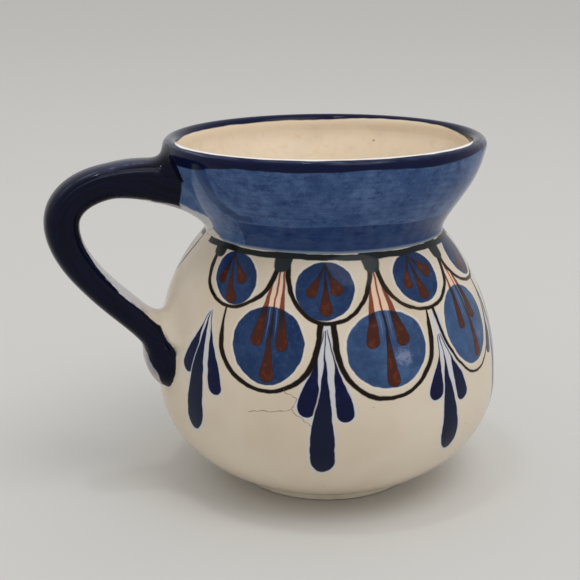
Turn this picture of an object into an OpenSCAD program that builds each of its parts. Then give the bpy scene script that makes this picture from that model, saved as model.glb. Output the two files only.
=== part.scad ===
// Clay mug of the jarrito kind: a round belly on a low turned foot, a flared collar with a rolled lip,
// and one pulled strap handle luted to the collar and to the belly.
// Millimetres, +Z up. The origin is the middle of the face the foot rests on; the handle points along -X.

/* [Body] */
// Height from the table to the top of the lip
mug_height = 100; // [90:0.5:112]
// Greatest outside diameter of the belly
belly_diameter = 99; // [88:0.5:110]
// Height of the greatest belly diameter above the table
belly_mid_height = 31; // [27:0.5:35]
// Outside diameter at the neck crease
neck_diameter = 66.6; // [60:0.2:74]
// Height of the neck crease above the table
neck_height = 74; // [70:0.5:77]
// Thickness of the thrown wall
wall_thickness = 4.2; // [3.4:0.1:5.2]
// Thickness of the floor above the foot
floor_thickness = 5; // [4:0.1:7]

/* [Foot] */
// Outside diameter of the foot on the table
foot_diameter = 51.4; // [44:0.2:58]
// Height of the foot below the belly
foot_height = 2.2; // [1.6:0.1:3.4]
// Width of the foot's resting land
foot_land = 6; // [4:0.2:9]
// How far the belly overhangs the foot at the crease
foot_step = 1; // [0.6:0.1:2]

/* [Lip] */
// Outside diameter of the rolled lip
lip_diameter = 90; // [82:0.2:98]
// Thickness of the rolled lip
lip_thickness = 4.7; // [4:0.1:6]
// Height of the lip from its lower edge to its top
lip_height = 5.4; // [4.6:0.1:7]
// How far the lip stands proud of the collar
lip_overhang = 0.6; // [0.2:0.1:1.2]

/* [Handle path] */
// Drop from the top of the lip to the middle of the root
root_drop = 12.4; // [11.6:0.1:14]
// Reach of the strap's middle line beyond the belly
handle_standoff = 24.8; // [22:0.1:30]
// Height of the outermost point of the strap above the table
bend_height = 78.1; // [74:0.1:81]
// Height of the lowest point of the tail above the table
tail_height = 32.5; // [28:0.5:35]
// Sideways shift of the root; the tail is shifted the other way
handle_lean = 2.8; // [0:0.1:4]
// How much further aside the tail was swung as it was pressed down
tail_swing = 1.2; // [0:0.1:3]

// How deep the middle of the root is pushed into the collar
root_depth = 3; // [2:0.1:4]
// How far that buried end lies below the middle of the root
root_droop = 1.4; // [0:0.1:3]
// How far above the root the strap is pulled as it leaves the collar
root_rise = 6.4; // [4:0.1:8]
// Slope of the strap at its knee, in degrees
knee_slope = 43.6; // [40:0.1:50]
// Length over which the strap eases into the knee
knee_ease_in = 7; // [5:0.1:12]
// Length over which it eases out again towards the tail
knee_ease_out = 10.5; // [7:0.1:13]
// Distance of the strap's middle line from the belly at the end of the tail
tail_offset = 0.9; // [0.4:0.1:2]
// How much further out the tail stands just above its end
tail_bow = 0.5; // [0:0.1:2]

/* [Handle section] */
// Thickness of the strap at the root
root_thickness = 12; // [10:0.1:13]
// Thickness of the strap along the top
strap_thickness = 9.4; // [8:0.1:10.5]
// Thickness of the strap on the way down
lower_thickness = 8.4; // [7:0.1:9.5]
// Thickness of the pressed tail
tail_thickness = 7.2; // [5:0.1:8]
// Width of the strap at the root
root_width = 15; // [13:0.1:17]
// Width of the strap between its ends
strap_width = 12; // [10:0.1:14]
// Width of the pressed tail
tail_width = 15.8; // [13:0.1:18]
// Squareness of the strap section: 2 is an ellipse
strap_squareness = 2.4; // [2:0.1:3.5]

/* [Luting clay] */
// Least thickness of the joining clay
luting_thickness = 0.8; // [0.5:0.1:1.4]
// Swelling of the joining clay under the root
root_swelling = 1.6; // [0.8:0.1:2.4]
// Swelling of the joining clay above the tail
tail_swelling = 2.4; // [1.2:0.1:3.2]
// How far the joining clay is squeezed out past the strap
luting_margin = 1; // [0.5:0.1:2]

// Length of the joining clay behind the tail
tail_bed_length = 23; // [20:0.5:26]
// Length of its swelling in the corner above the tail
tail_fillet_length = 11; // [8:0.5:13]

/* [Hidden] */
$fn = 96;
belly_radius = belly_diameter / 2;
neck_radius = neck_diameter / 2;
foot_radius = foot_diameter / 2;
belly_base = foot_radius + foot_step;
lip_bottom = mug_height - lip_height;
collar_radius = lip_diameter / 2 - lip_overhang;
floor_height = foot_height + floor_thickness;
// Shortest edge kept in the inner outlines
least_edge = 0.4;
body_steps = 20;
strap_steps = 16;
strap_sides = 28;

function mix(a, b, t) = a + (b - a) * t;
function bezier(p, t) = pow(1 - t, 3) * p[0] + 3 * t * pow(1 - t, 2) * p[1]
    + 3 * t * t * (1 - t) * p[2] + pow(t, 3) * p[3];
function slope(p, t) = pow(1 - t, 2) * (p[1] - p[0]) + 2 * t * (1 - t) * (p[2] - p[1])
    + t * t * (p[3] - p[2]);
function unit(v) = v / norm(v);
function eased(t) = t < 0 ? 0 : t * t * (3 - 2 * t);
function left_of(v) = [-v[1], v[0]];
// Parameter at which a rising curve reaches height z
function reach(p, z, a = 0, b = 1, n = 24) =
    n == 0 ? (a + b) / 2 :
    bezier(p, (a + b) / 2)[1] < z ? reach(p, z, (a + b) / 2, b, n - 1) : reach(p, z, a, (a + b) / 2, n - 1);
function radius_at(p, z) = bezier(p, reach(p, z))[0];

// Body curves, each point as radius and height
low_curve = [
    [belly_base, foot_height],
    [mix(belly_base, belly_radius, 0.6), mix(foot_height, belly_mid_height, 0.2)],
    [belly_radius, mix(foot_height, belly_mid_height, 0.51)],
    [belly_radius, belly_mid_height]
];
high_curve = [
    [belly_radius, belly_mid_height],
    [belly_radius, mix(belly_mid_height, neck_height, 0.35)],
    [mix(neck_radius, belly_radius, 0.78), mix(belly_mid_height, neck_height, 0.68)],
    [neck_radius, neck_height]
];
collar_curve = [
    [neck_radius, neck_height],
    [mix(neck_radius, collar_radius, 0.04), mix(neck_height, lip_bottom, 0.27)],
    [mix(neck_radius, collar_radius, 0.81), mix(neck_height, lip_bottom, 0.58)],
    [collar_radius, lip_bottom]
];

function belly_at(z) = z < belly_mid_height ? radius_at(low_curve, z) : radius_at(high_curve, z);
function collar_at(z) = radius_at(collar_curve, z);
function curve_points(p, first) = [for (i = [first : body_steps]) bezier(p, i / body_steps)];
// The same curve carried inward by the wall, kept above the floor and below the joint
function inner_points(p, first, low, high) = [
    for (i = [first : body_steps])
        let (t = i / body_steps, q = bezier(p, t) + wall_thickness * left_of(unit(slope(p, t))))
        [q[0], min(max(q[1], low), high)]
];
function reversed(list) = [for (i = [len(list) - 1 : -1 : 0]) list[i]];

belly_outer = concat(curve_points(low_curve, 0), curve_points(high_curve, 1));
belly_inner = concat(
    [[0, floor_height]],
    [for (q = inner_points(low_curve, 0, floor_height, belly_mid_height)) if (q[1] > floor_height + least_edge) q],
    [for (q = inner_points(high_curve, 1, floor_height, neck_height)) if (q[1] < neck_height - least_edge) q],
    [[neck_radius - wall_thickness, neck_height]]
);
collar_outer = curve_points(collar_curve, 0);
lip_inner_radius = lip_diameter / 2 - lip_thickness;
collar_inner = concat(
    [[neck_radius - wall_thickness, neck_height]],
    [for (q = inner_points(collar_curve, 1, neck_height, lip_bottom))
        if (q[1] > neck_height + least_edge && q[1] < lip_bottom - least_edge) q],
    [[lip_inner_radius, lip_bottom]]
);

// Joining clay is a thin bed on the wall that swells once in the corner under the strap
root_height = mug_height - root_drop;
pad_top = lip_bottom;
pad_bottom = root_height - root_thickness / 2 - 4 * luting_margin;
bed_top = tail_height + tail_bed_length;
bed_bottom = tail_height - luting_margin;
function swell(z, low, high) = z < low || z > high ? 0 : pow(sin(180 * (z - low) / (high - low)), 2);
function root_bed(z) = collar_at(z) + luting_thickness + root_swelling * swell(z, pad_bottom, root_height);
function tail_bed(z) = belly_at(z) + luting_thickness + tail_swelling * swell(z, bed_top - tail_fillet_length, bed_top);
function heights(a, b, n) = [for (i = [0 : n]) mix(a, b, i / n)];

// Handle path in its own plane, as distance from the axis and height
bend_reach = belly_radius + handle_standoff;
bend_start = collar_at(root_height);
knee = [mix(belly_radius, bend_reach, 0.234), mix(tail_height, bend_height, 0.419)];
tail_reach = belly_at(tail_height) + tail_offset;
knee_line = [cos(knee_slope), sin(knee_slope)];
path = [
    [
        [bend_start - root_depth, root_height - root_droop],
        [mix(bend_start, bend_reach, 0.42), root_height + root_rise],
        [bend_reach, mix(bend_height, root_height, 1.31)],
        [bend_reach, bend_height]
    ],
    [
        [bend_reach, bend_height],
        [bend_reach, mix(knee[1], bend_height, 0.6)],
        knee + knee_ease_in * knee_line,
        knee
    ],
    [
        knee,
        knee - knee_ease_out * knee_line,
        [tail_reach + tail_bow, mix(tail_height, knee[1], 0.65)],
        [tail_reach, tail_height]
    ]
];
strap_rings = 3 * strap_steps;
function at_ring(i) = i == strap_rings ? [2, 1] : [floor(i / strap_steps), (i % strap_steps) / strap_steps];
function ring_u(i) = i / strap_rings;
thickness_law = [
    [0, root_thickness], [0.06, root_thickness], [0.15, strap_thickness], [0.33, strap_thickness],
    [0.5, lower_thickness], [0.72, lower_thickness], [0.88, tail_thickness], [1, tail_thickness]
];
width_law = [
    [0, root_width], [0.06, root_width], [0.16, strap_width], [0.79, strap_width], [0.9, tail_width], [1, tail_width]
];
// The tail closes like a thumb end
function tail_close(u) = u < 0.89 ? 1 : sqrt(max(0.02, 1 - pow((u - 0.89) / 0.11, 2)));
function power(c) = sign(c) * pow(abs(c), 2 / strap_squareness);
// The strap runs from one side to the other, and swings further where it is pressed down
press_start = 0.76;
function strap_y(u) =
    mix(handle_lean, -handle_lean, u) - tail_swing * eased((u - press_start) / (1 - press_start));
function ring_points(i) =
    let (
        s = at_ring(i),
        u = ring_u(i),
        c = bezier(path[s[0]], s[1]),
        d = unit(slope(path[s[0]], s[1])),
        n = left_of(d),
        half_t = lookup(u, thickness_law) / 2 * tail_close(u),
        half_w = lookup(u, width_law) / 2 * tail_close(u),
        y = strap_y(u)
    )
    [for (k = [0 : strap_sides - 1])
        let (a = 360 * k / strap_sides, q = c + half_t * power(cos(a)) * n)
        [-q[0], y + half_w * power(sin(a)), q[1]]];

module strap() {
    points = [for (i = [0 : strap_rings]) each ring_points(i)];
    last = strap_rings * strap_sides;
    sides = [for (i = [0 : strap_rings - 1], k = [0 : strap_sides - 1])
        let (
            a = i * strap_sides + k,
            b = i * strap_sides + (k + 1) % strap_sides,
            c = a + strap_sides,
            d = b + strap_sides
        )
        each [[a, b, d], [a, d, c]]];
    ends = [
        [for (k = [strap_sides - 1 : -1 : 0]) k],
        [for (k = [0 : strap_sides - 1]) last + k]
    ];
    polyhedron(points = points, faces = concat(sides, ends));
}

module root_envelope() {
    zs = heights(pad_bottom, pad_top, 16);
    rotate_extrude()
        polygon(concat([[0, pad_bottom]], [for (z = zs) [root_bed(z), z]], [[0, pad_top]]));
}

module tail_envelope() {
    zs = heights(bed_bottom, bed_top, 22);
    rotate_extrude()
        polygon(concat([[0, bed_bottom]], [for (z = zs) [tail_bed(z), z]], [[0, bed_top]]));
}

module body_envelope() {
    rotate_extrude()
        polygon(concat([[0, foot_height]], belly_outer, collar_outer, [[0, lip_bottom]]));
}

// Oval outline of joining clay, leaning aside towards its top, pushed through the wall along -X
module oval(width, low, high, y, lean = 0) {
    points = [for (a = [0 : 9 : 351])
        [width / 2 * cos(a) - lean * sin(a), (high - low) / 2 * sin(a)]];
    translate([0, y, (low + high) / 2])
        rotate([90, 0, -90])
            linear_extrude(height = belly_diameter)
                polygon(points);
}

module foot_ring() {
    color([0.80, 0.74, 0.66])
        rotate_extrude()
            polygon([
                [foot_radius - foot_land, 0],
                [foot_radius, 0],
                [foot_radius + foot_step * 0.3, foot_height],
                [foot_radius - foot_land - foot_step, foot_height]
            ]);
}

module belly() {
    color([0.86, 0.80, 0.72])
        rotate_extrude()
            polygon(concat([[0, foot_height]], belly_outer, reversed(belly_inner)));
}

module collar() {
    color([0.24, 0.36, 0.58])
        rotate_extrude()
            polygon(concat(collar_outer, reversed(collar_inner)));
}

module lip() {
    bead = lip_thickness / 2;
    middle = [lip_diameter / 2 - bead, mug_height - bead];
    round = [for (a = [0 : 12 : 180]) middle + bead * [cos(a), sin(a)]];
    color([0.09, 0.10, 0.20])
        rotate_extrude()
            polygon(concat([[lip_inner_radius, lip_bottom], [collar_radius, lip_bottom]], round));
}

module handle() {
    color([0.08, 0.09, 0.18])
        difference() {
            strap();
            body_envelope();
            root_envelope();
            tail_envelope();
        }
}

module upper_luting() {
    color([0.82, 0.78, 0.74])
        difference() {
            intersection() {
                root_envelope();
                oval(root_width + 2 * luting_margin, pad_bottom, pad_top + luting_margin, handle_lean);
            }
            body_envelope();
        }
}

module lower_luting() {
    color([0.84, 0.78, 0.70])
        difference() {
            intersection() {
                tail_envelope();
                oval(
                    tail_width + 2 * luting_margin,
                    bed_bottom,
                    bed_top,
                    (strap_y(press_start) + strap_y(1)) / 2,
                    (strap_y(press_start) - strap_y(1)) / 2
                );
            }
            body_envelope();
        }
}

foot_ring();
belly();
collar();
lip();
handle();
upper_luting();
lower_luting();
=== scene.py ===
"""Looks of a hand-painted clay mug: thrown body, pulled strap handle, slip painting under a clear glaze.

Lengths are in millimetres until a mesh is made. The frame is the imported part's: +Z up, the handle along -X.
"""
import math

import bpy
import numpy as np
from mathutils import Matrix, Vector


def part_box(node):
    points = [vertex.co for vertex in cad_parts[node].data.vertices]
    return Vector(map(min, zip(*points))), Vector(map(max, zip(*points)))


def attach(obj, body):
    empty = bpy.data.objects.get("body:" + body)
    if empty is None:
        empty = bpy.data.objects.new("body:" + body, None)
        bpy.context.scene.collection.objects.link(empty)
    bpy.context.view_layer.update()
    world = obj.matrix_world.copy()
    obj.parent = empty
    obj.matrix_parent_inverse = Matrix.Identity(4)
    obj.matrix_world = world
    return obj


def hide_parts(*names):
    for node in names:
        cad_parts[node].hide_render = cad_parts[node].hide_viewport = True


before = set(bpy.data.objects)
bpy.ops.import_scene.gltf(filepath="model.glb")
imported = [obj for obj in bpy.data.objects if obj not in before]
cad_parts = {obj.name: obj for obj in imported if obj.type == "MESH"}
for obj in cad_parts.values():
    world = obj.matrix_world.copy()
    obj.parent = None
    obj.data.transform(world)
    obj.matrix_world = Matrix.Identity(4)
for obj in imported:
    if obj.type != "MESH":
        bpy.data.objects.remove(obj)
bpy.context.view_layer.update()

MM = 0.001


def corners(node):
    """Lowest and highest corner of a node of the part, in millimetres."""
    low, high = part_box(node)
    return np.array(low) / MM, np.array(high) / MM


# Room kept inside the part's box for the unevenness of hand work
BELLY_ROOM = 0.75
RIM_ROOM = 0.8
CREASE_DROP = 0.6

# Sizes taken from the frame
foot_top = corners("foot_ring")[1][2]
foot_radius = corners("foot_ring")[1][0]
lip_bottom = corners("lip")[0][2]
lip_radius = corners("lip")[1][0]
belly_radius = corners("belly")[1][0] - BELLY_ROOM
mug_top = corners("lip")[1][2] - RIM_ROOM
crease = corners("belly")[1][2] - CREASE_DROP

# The other sizes of the thrown body
BELLY_BASE = 26.7
BELLY_MID = 31.0
NECK_RADIUS = 33.3
COLLAR_RADIUS = 44.4
WALL = 4.2
FLOOR_HEIGHT = 7.2
LIP_BEAD = 2.35
LAND_INNER = 19.7
# How far the corners of its section are rounded, and what is cut off the ends of the inner wall for that
OUTSIDE_BLUR = 0.6
INSIDE_BLUR = 1.6
SECTION_BLUR = 0.5
INSIDE_MARGIN = 0.4

# Sizes of the pulled handle; those named FROM and OVER are shares of its length
ROOT_HEIGHT = 86.8
ROOT_REACH = 41.3
ROOT_DEPTH = 3.0
ROOT_DROOP = 1.4
ROOT_RISE = 6.4
ROOT_SINK = 2.0
BEND_REACH = 74.2
BEND_HEIGHT = 78.1
KNEE = np.array([55.3, 51.6])
KNEE_SLOPE = math.radians(43.6)
KNEE_EASE_IN = 7.0
KNEE_EASE_OUT = 10.5
TAIL_REACH = 50.3
TAIL_HEIGHT = 31.7
TAIL_BOW = 0.5
TAIL_SWING = 1.2
TAIL_SWING_FROM = 0.76
TAIL_PRESS = 3.0
TAIL_PRESS_FROM = 0.79
TAIL_PRESS_OVER = 0.14
TAIL_ROUND_FROM = 0.895
TAIL_ROUNDNESS = 1.9
TAIL_LEAST = 0.004
HANDLE_LEAN = 2.8
SQUARENESS = 2.5

# Grids of the meshes
COLUMNS = 240
SECTION_STEP = 0.25
BEAD_POINTS = 25
ROW_STRIDE = 4
UNDER_ROWS = 7
FOOT_STEP = 0.45
CURVE_POINTS = 200
STRAP_RINGS = 160
STRAP_SIDES = 48
LAW_BLUR = 9
NET_STEP = 0.36
CHUNK = 40000


def mix(a, b, t):
    return a + (b - a) * t


def ease(t):
    """Smooth step from 0 to 1."""
    t = np.clip(t, 0, 1)
    return t * t * (3 - 2 * t)


def bezier(points, count=60):
    """Points along a cubic curve."""
    p = np.asarray(points, float)
    t = np.linspace(0, 1, count)[:, None]
    return (1 - t) ** 3 * p[0] + 3 * t * (1 - t) ** 2 * p[1] + 3 * t * t * (1 - t) * p[2] + t**3 * p[3]


def lengths(line):
    """Distance along a polyline at each of its points."""
    return np.concatenate([[0], np.cumsum(np.linalg.norm(np.diff(line, axis=0), axis=1))])


def even_line(line, step):
    """The same polyline with points about a step apart."""
    along = lengths(line)
    at = np.linspace(0, along[-1], max(2, int(round(along[-1] / step)) + 1))
    return np.stack([np.interp(at, along, values) for values in line.T], 1)


def softened(line, blur):
    """A polyline in even steps, with its corners rounded over about the blur length."""
    line = even_line(line, SECTION_STEP)
    half = int(math.ceil(3 * blur / SECTION_STEP))
    weights = np.exp(-0.5 * (np.arange(-half, half + 1) * SECTION_STEP / blur) ** 2)
    head = 2 * line[0] - line[half:0:-1]
    tail = 2 * line[-1] - line[-2 : -half - 2 : -1]
    padded = np.concatenate([head, line, tail])
    return np.stack([np.convolve(values, weights / weights.sum(), "valid") for values in padded.T], 1)


def left_normals(line):
    """Unit normals on the left of a polyline in the plane."""
    slope = np.gradient(line, axis=0)
    slope /= np.linalg.norm(slope, axis=1)[:, None]
    return np.stack([-slope[:, 1], slope[:, 0]], 1)


# Section of the thrown body: up the outside, over the lip and down the inside to the middle of the floor.
# The shares set how full each curve is
low_curve = bezier([
    [BELLY_BASE, foot_top],
    [mix(BELLY_BASE, belly_radius, 0.6), mix(foot_top, BELLY_MID, 0.2)],
    [belly_radius, mix(foot_top, BELLY_MID, 0.51)],
    [belly_radius, BELLY_MID],
])
high_curve = bezier([
    [belly_radius, BELLY_MID],
    [belly_radius, mix(BELLY_MID, crease, 0.35)],
    [mix(NECK_RADIUS, belly_radius, 0.78), mix(BELLY_MID, crease, 0.68)],
    [NECK_RADIUS, crease],
])
collar_curve = bezier([
    [NECK_RADIUS, crease],
    [mix(NECK_RADIUS, COLLAR_RADIUS, 0.04), mix(crease, lip_bottom, 0.27)],
    [mix(NECK_RADIUS, COLLAR_RADIUS, 0.81), mix(crease, lip_bottom, 0.58)],
    [COLLAR_RADIUS, lip_bottom],
])
bead_turn = np.linspace(0, math.pi, BEAD_POINTS)
bead_middle = np.array([lip_radius - LIP_BEAD, mug_top - LIP_BEAD])
lip_curve = bead_middle + LIP_BEAD * np.stack([np.cos(bead_turn), np.sin(bead_turn)], 1)
outside = softened(np.concatenate([low_curve, high_curve[1:], collar_curve[1:]]), OUTSIDE_BLUR)
inside = (outside + WALL * left_normals(outside))[::-1]
kept = (inside[:, 1] > FLOOR_HEIGHT + INSIDE_MARGIN) & (inside[:, 1] < lip_bottom - INSIDE_MARGIN)
inside = softened(np.concatenate([inside[kept], [[0, FLOOR_HEIGHT]]]), INSIDE_BLUR)
section = softened(np.concatenate([outside, lip_curve, inside]), SECTION_BLUR)
section[-1, 0] = 0
top_row = int(section[:, 1].argmax())
rising = section[:top_row, 1]
falling = section[top_row:, 1]
neck_row = int(np.searchsorted(rising, crease))
lip_row = int(np.searchsorted(rising, lip_bottom))
lip_inner_row = top_row + int(np.searchsorted(-falling, -lip_bottom))
neck_inner_row = top_row + int(np.searchsorted(-falling, -crease))
section_run = lengths(section) - lengths(section)[neck_row]
section[[neck_row, neck_inner_row], 1] = crease
section[[lip_row, lip_inner_row], 1] = lip_bottom

# Unevenness of the thrown body: its axis wanders to one side, it is a little out of round, and the lip rises
# to the front. Each wave round it has a depth, a count, a turn with height and a phase
WANDER_TOWARDS = np.array([0.9455, -0.3256])
WANDER_HEIGHTS = [0, 12, 25, 45, 62, 73, 86, 100]
WANDER = [0.25, 0.4, 0.52, 0.0, -0.6, -0.6, -0.5, -0.8]
WAVES = [(0.07, 2, 0.03, 0.4), (0.05, 3, -0.05, 1.0)]
RING_PITCH = 8.5
RING_DRIFT = 0.8
RING_DEPTH = 0.02
RING_DEPTH_INSIDE = 0.11
LIP_RISE = 0.5
LIP_RISE_TOWARDS = math.radians(-50)
LIP_RISE_FROM = 80
LIP_RISE_OVER = 16
STEADY_RADIUS = 20
STEADY_HEIGHT = 8


def unevenness(angle, z, within):
    """How far the wall stands out of true, with the finger rings stronger on the inside."""
    out = sum(depth * np.sin(count * angle + turn * z + phase) for depth, count, turn, phase in WAVES)
    ring = np.sin(z * 2 * math.pi / RING_PITCH + angle + RING_DRIFT * np.sin(angle))
    return out + ring * np.where(within, RING_DEPTH_INSIDE, RING_DEPTH)


def wander(z):
    return np.interp(z, WANDER_HEIGHTS, WANDER)


def lip_rise(angle, z):
    rise = LIP_RISE * (0.5 + np.cos(angle - LIP_RISE_TOWARDS))
    return rise * ease((z - LIP_RISE_FROM) / LIP_RISE_OVER)


def hand_made(r, z, angle, within):
    """Points of the thrown body for radii, heights and angles of its true section."""
    r = r + unevenness(angle, z, within) * np.minimum(1, r / STEADY_RADIUS) * ease(z / STEADY_HEIGHT)
    x = r * np.cos(angle) + wander(z) * WANDER_TOWARDS[0]
    y = r * np.sin(angle) + wander(z) * WANDER_TOWARDS[1]
    return np.stack([x, y, z + lip_rise(angle, z)], -1)


wall_radius_at = section[:top_row, 0]
wall_slope_at = np.gradient(wall_radius_at) / np.gradient(section[:top_row, 1])


def wall_gap(points):
    """Distance of points from the outside of the thrown wall, negative within it."""
    x = points[:, 0] - wander(points[:, 2]) * WANDER_TOWARDS[0]
    y = points[:, 1] - wander(points[:, 2]) * WANDER_TOWARDS[1]
    angle = np.arctan2(y, x)
    z = points[:, 2] - lip_rise(angle, points[:, 2])
    radius = np.interp(z, rising, wall_radius_at) + unevenness(angle, z, False)
    slope = np.interp(z, rising, wall_slope_at)
    return (np.hypot(x, y) - radius) / np.sqrt(1 + slope**2)


# Middle line of the strap, as distance from the axis and height, with its section along it
knee_line = np.array([math.cos(KNEE_SLOPE), math.sin(KNEE_SLOPE)])
strap_curves = [
    [
        [ROOT_REACH - ROOT_DEPTH, ROOT_HEIGHT - ROOT_DROOP],
        [mix(ROOT_REACH, BEND_REACH, 0.42), ROOT_HEIGHT + ROOT_RISE],
        [BEND_REACH, mix(BEND_HEIGHT, ROOT_HEIGHT, 1.31)],
        [BEND_REACH, BEND_HEIGHT],
    ],
    [
        [BEND_REACH, BEND_HEIGHT],
        [BEND_REACH, mix(KNEE[1], BEND_HEIGHT, 0.6)],
        KNEE + KNEE_EASE_IN * knee_line,
        KNEE,
    ],
    [
        KNEE,
        KNEE - KNEE_EASE_OUT * knee_line,
        [TAIL_REACH + TAIL_BOW, mix(TAIL_HEIGHT, KNEE[1], 0.65)],
        [TAIL_REACH, TAIL_HEIGHT],
    ],
]
strap_line = np.concatenate([bezier(c, CURVE_POINTS)[(i > 0) :] for i, c in enumerate(strap_curves)])
fine_share = np.linspace(0, 1, len(strap_line))
fine_along = lengths(strap_line)
strap_share = np.interp(np.linspace(0, fine_along[-1], STRAP_RINGS), fine_along, fine_share)
strap_line = np.stack([np.interp(strap_share, fine_share, values) for values in strap_line.T], 1)
strap_along = lengths(strap_line)
strap_out = left_normals(strap_line)
THICKNESS = [(0, 12), (0.06, 12), (0.15, 9.4), (0.33, 9.4), (0.5, 8.4), (0.72, 8.4), (0.86, 7.4), (1, 7.2)]
WIDTH = [(0, 15), (0.06, 15), (0.16, 12), (0.76, 12.2), (0.86, 15.8), (1, 15.8)]


def strap_law(law):
    """A size along the strap, from pairs of share and size, without corners."""
    even = np.interp(strap_share, *zip(*law))
    weights = np.hanning(LAW_BLUR)
    padded = np.pad(even, LAW_BLUR // 2, mode="edge")
    return np.convolve(padded, weights / weights.sum(), "valid")


tail_share = np.maximum(strap_share - TAIL_ROUND_FROM, 0) / (1 - TAIL_ROUND_FROM)
tail_close = np.sqrt(np.maximum(TAIL_LEAST, 1 - tail_share**TAIL_ROUNDNESS))
tail_press = TAIL_PRESS * ease((strap_share - TAIL_PRESS_FROM) / TAIL_PRESS_OVER)
tail_swing = TAIL_SWING * ease((strap_share - TAIL_SWING_FROM) / (1 - TAIL_SWING_FROM))
strap_line -= strap_out * tail_press[:, None]
strap_half_t = (strap_law(THICKNESS) / 2 + tail_press) * tail_close
strap_half_w = strap_law(WIDTH) / 2 * tail_close
strap_side = mix(HANDLE_LEAN, -HANDLE_LEAN, strap_share) - tail_swing
strap_step = np.gradient(strap_line, axis=0)
ring_numbers = np.arange(STRAP_RINGS)


def along_strap(values, place):
    """A value of the strap at places given in rings."""
    return np.interp(place, ring_numbers, values)


def on_strap(points):
    """Place in rings, offset outward, offset sideways and distance from the strap's face for each point."""
    flat = np.stack([-points[:, 0], points[:, 2]], 1)
    ring = np.empty(len(points), int)
    for first in range(0, len(points), CHUNK):
        part = flat[first : first + CHUNK]
        gap = (part[:, :1] - strap_line[:, 0]) ** 2 + (part[:, 1:] - strap_line[:, 1]) ** 2
        ring[first : first + CHUNK] = gap.argmin(1)
    step = strap_step[ring]
    past = ((flat - strap_line[ring]) * step).sum(1) / (step**2).sum(1)
    place = np.clip(ring + np.clip(past, -0.6, 0.6), 0, STRAP_RINGS - 1)
    out = (flat[:, 0] - along_strap(strap_line[:, 0], place)) * along_strap(strap_out[:, 0], place)
    out += (flat[:, 1] - along_strap(strap_line[:, 1], place)) * along_strap(strap_out[:, 1], place)
    side = points[:, 1] - along_strap(strap_side, place)
    thick = np.abs(out) / along_strap(strap_half_t, place)
    wide = np.abs(side) / along_strap(strap_half_w, place)
    size = np.maximum(thick**SQUARENESS + wide**SQUARENESS, 1e-6) ** (1 / SQUARENESS)
    gap = (1 - 1 / size) * np.hypot(out, side)
    beyond = np.where(ring == STRAP_RINGS - 1, np.maximum(past, 0) * strap_along[-1] / STRAP_RINGS, 0)
    gap = np.where(beyond > 0, np.hypot(np.maximum(gap, 0), beyond), gap)
    return place, out, side, gap


# Angle round the strap at which the count starts again, on its near side
TURN_SEAM = -60


def strap_turn(place, out, side):
    """Angle round the strap in degrees: 0 outer face, 90 far side, 180 inner face, 270 near side."""
    thick = out / along_strap(strap_half_t, place)
    wide = side / along_strap(strap_half_w, place)
    turn = np.degrees(np.arctan2(wide, thick))
    return np.where(turn < TURN_SEAM, turn + 360, turn)


# The brush left part of the inner face bare, and the far side of the tail: from and to which angle, by share
BARE_FROM = [
    (0, 116), (0.1, 116), (0.2, 120), (0.74, 118), (0.78, 80), (0.81, -32), (0.855, -40), (0.91, -47),
    (0.955, -50), (1, -48),
]
BARE_TO = [
    (0, 224), (0.08, 216), (0.16, 192), (0.3, 194), (0.43, 216), (0.54, 230), (0.7, 234), (0.78, 226),
    (0.82, 221), (1, 214),
]
PAINT_PER_DEGREE = 0.09


def strap_paint(place, out, side):
    """Distance in millimetres inside the painted part of the strap, negative where it is bare."""
    turn = strap_turn(place, out, side)
    share = along_strap(strap_share, place)
    start = np.interp(share, *zip(*BARE_FROM))
    end = np.interp(share, *zip(*BARE_TO))
    return np.maximum(start - turn, turn - end) * PAINT_PER_DEGREE


def add_object(name, data):
    """A new object in the scene."""
    made = bpy.data.objects.new(name, data)
    bpy.context.scene.collection.objects.link(made)
    return made


def new_piece(name, points, faces, node):
    """A closed mesh piece that stands for a node of the part. Points are in millimetres."""
    mesh = bpy.data.meshes.new(name)
    mesh.from_pydata((points * MM).tolist(), [], faces)
    mesh.update()
    volume = 0
    for face in mesh.polygons:
        a, b, c = (mesh.vertices[i].co for i in face.vertices[:3])
        volume += a.cross(b).dot(c) * (len(face.vertices) - 2)
    if volume < 0:
        mesh.flip_normals()
    mesh.shade_smooth()
    piece = add_object(name, mesh)
    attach(piece, "root")
    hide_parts(node)
    return piece


def give(piece, name, values):
    """Stores one number at each point of a piece for its material."""
    made = piece.data.attributes.new(name, "FLOAT", "POINT")
    made.data.foreach_set("value", np.asarray(values, np.float32))


# A radius below this is on the axis, and a distance from the strap above this is far
ON_AXIS = 1e-6
FAR_GAP = 30


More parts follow.
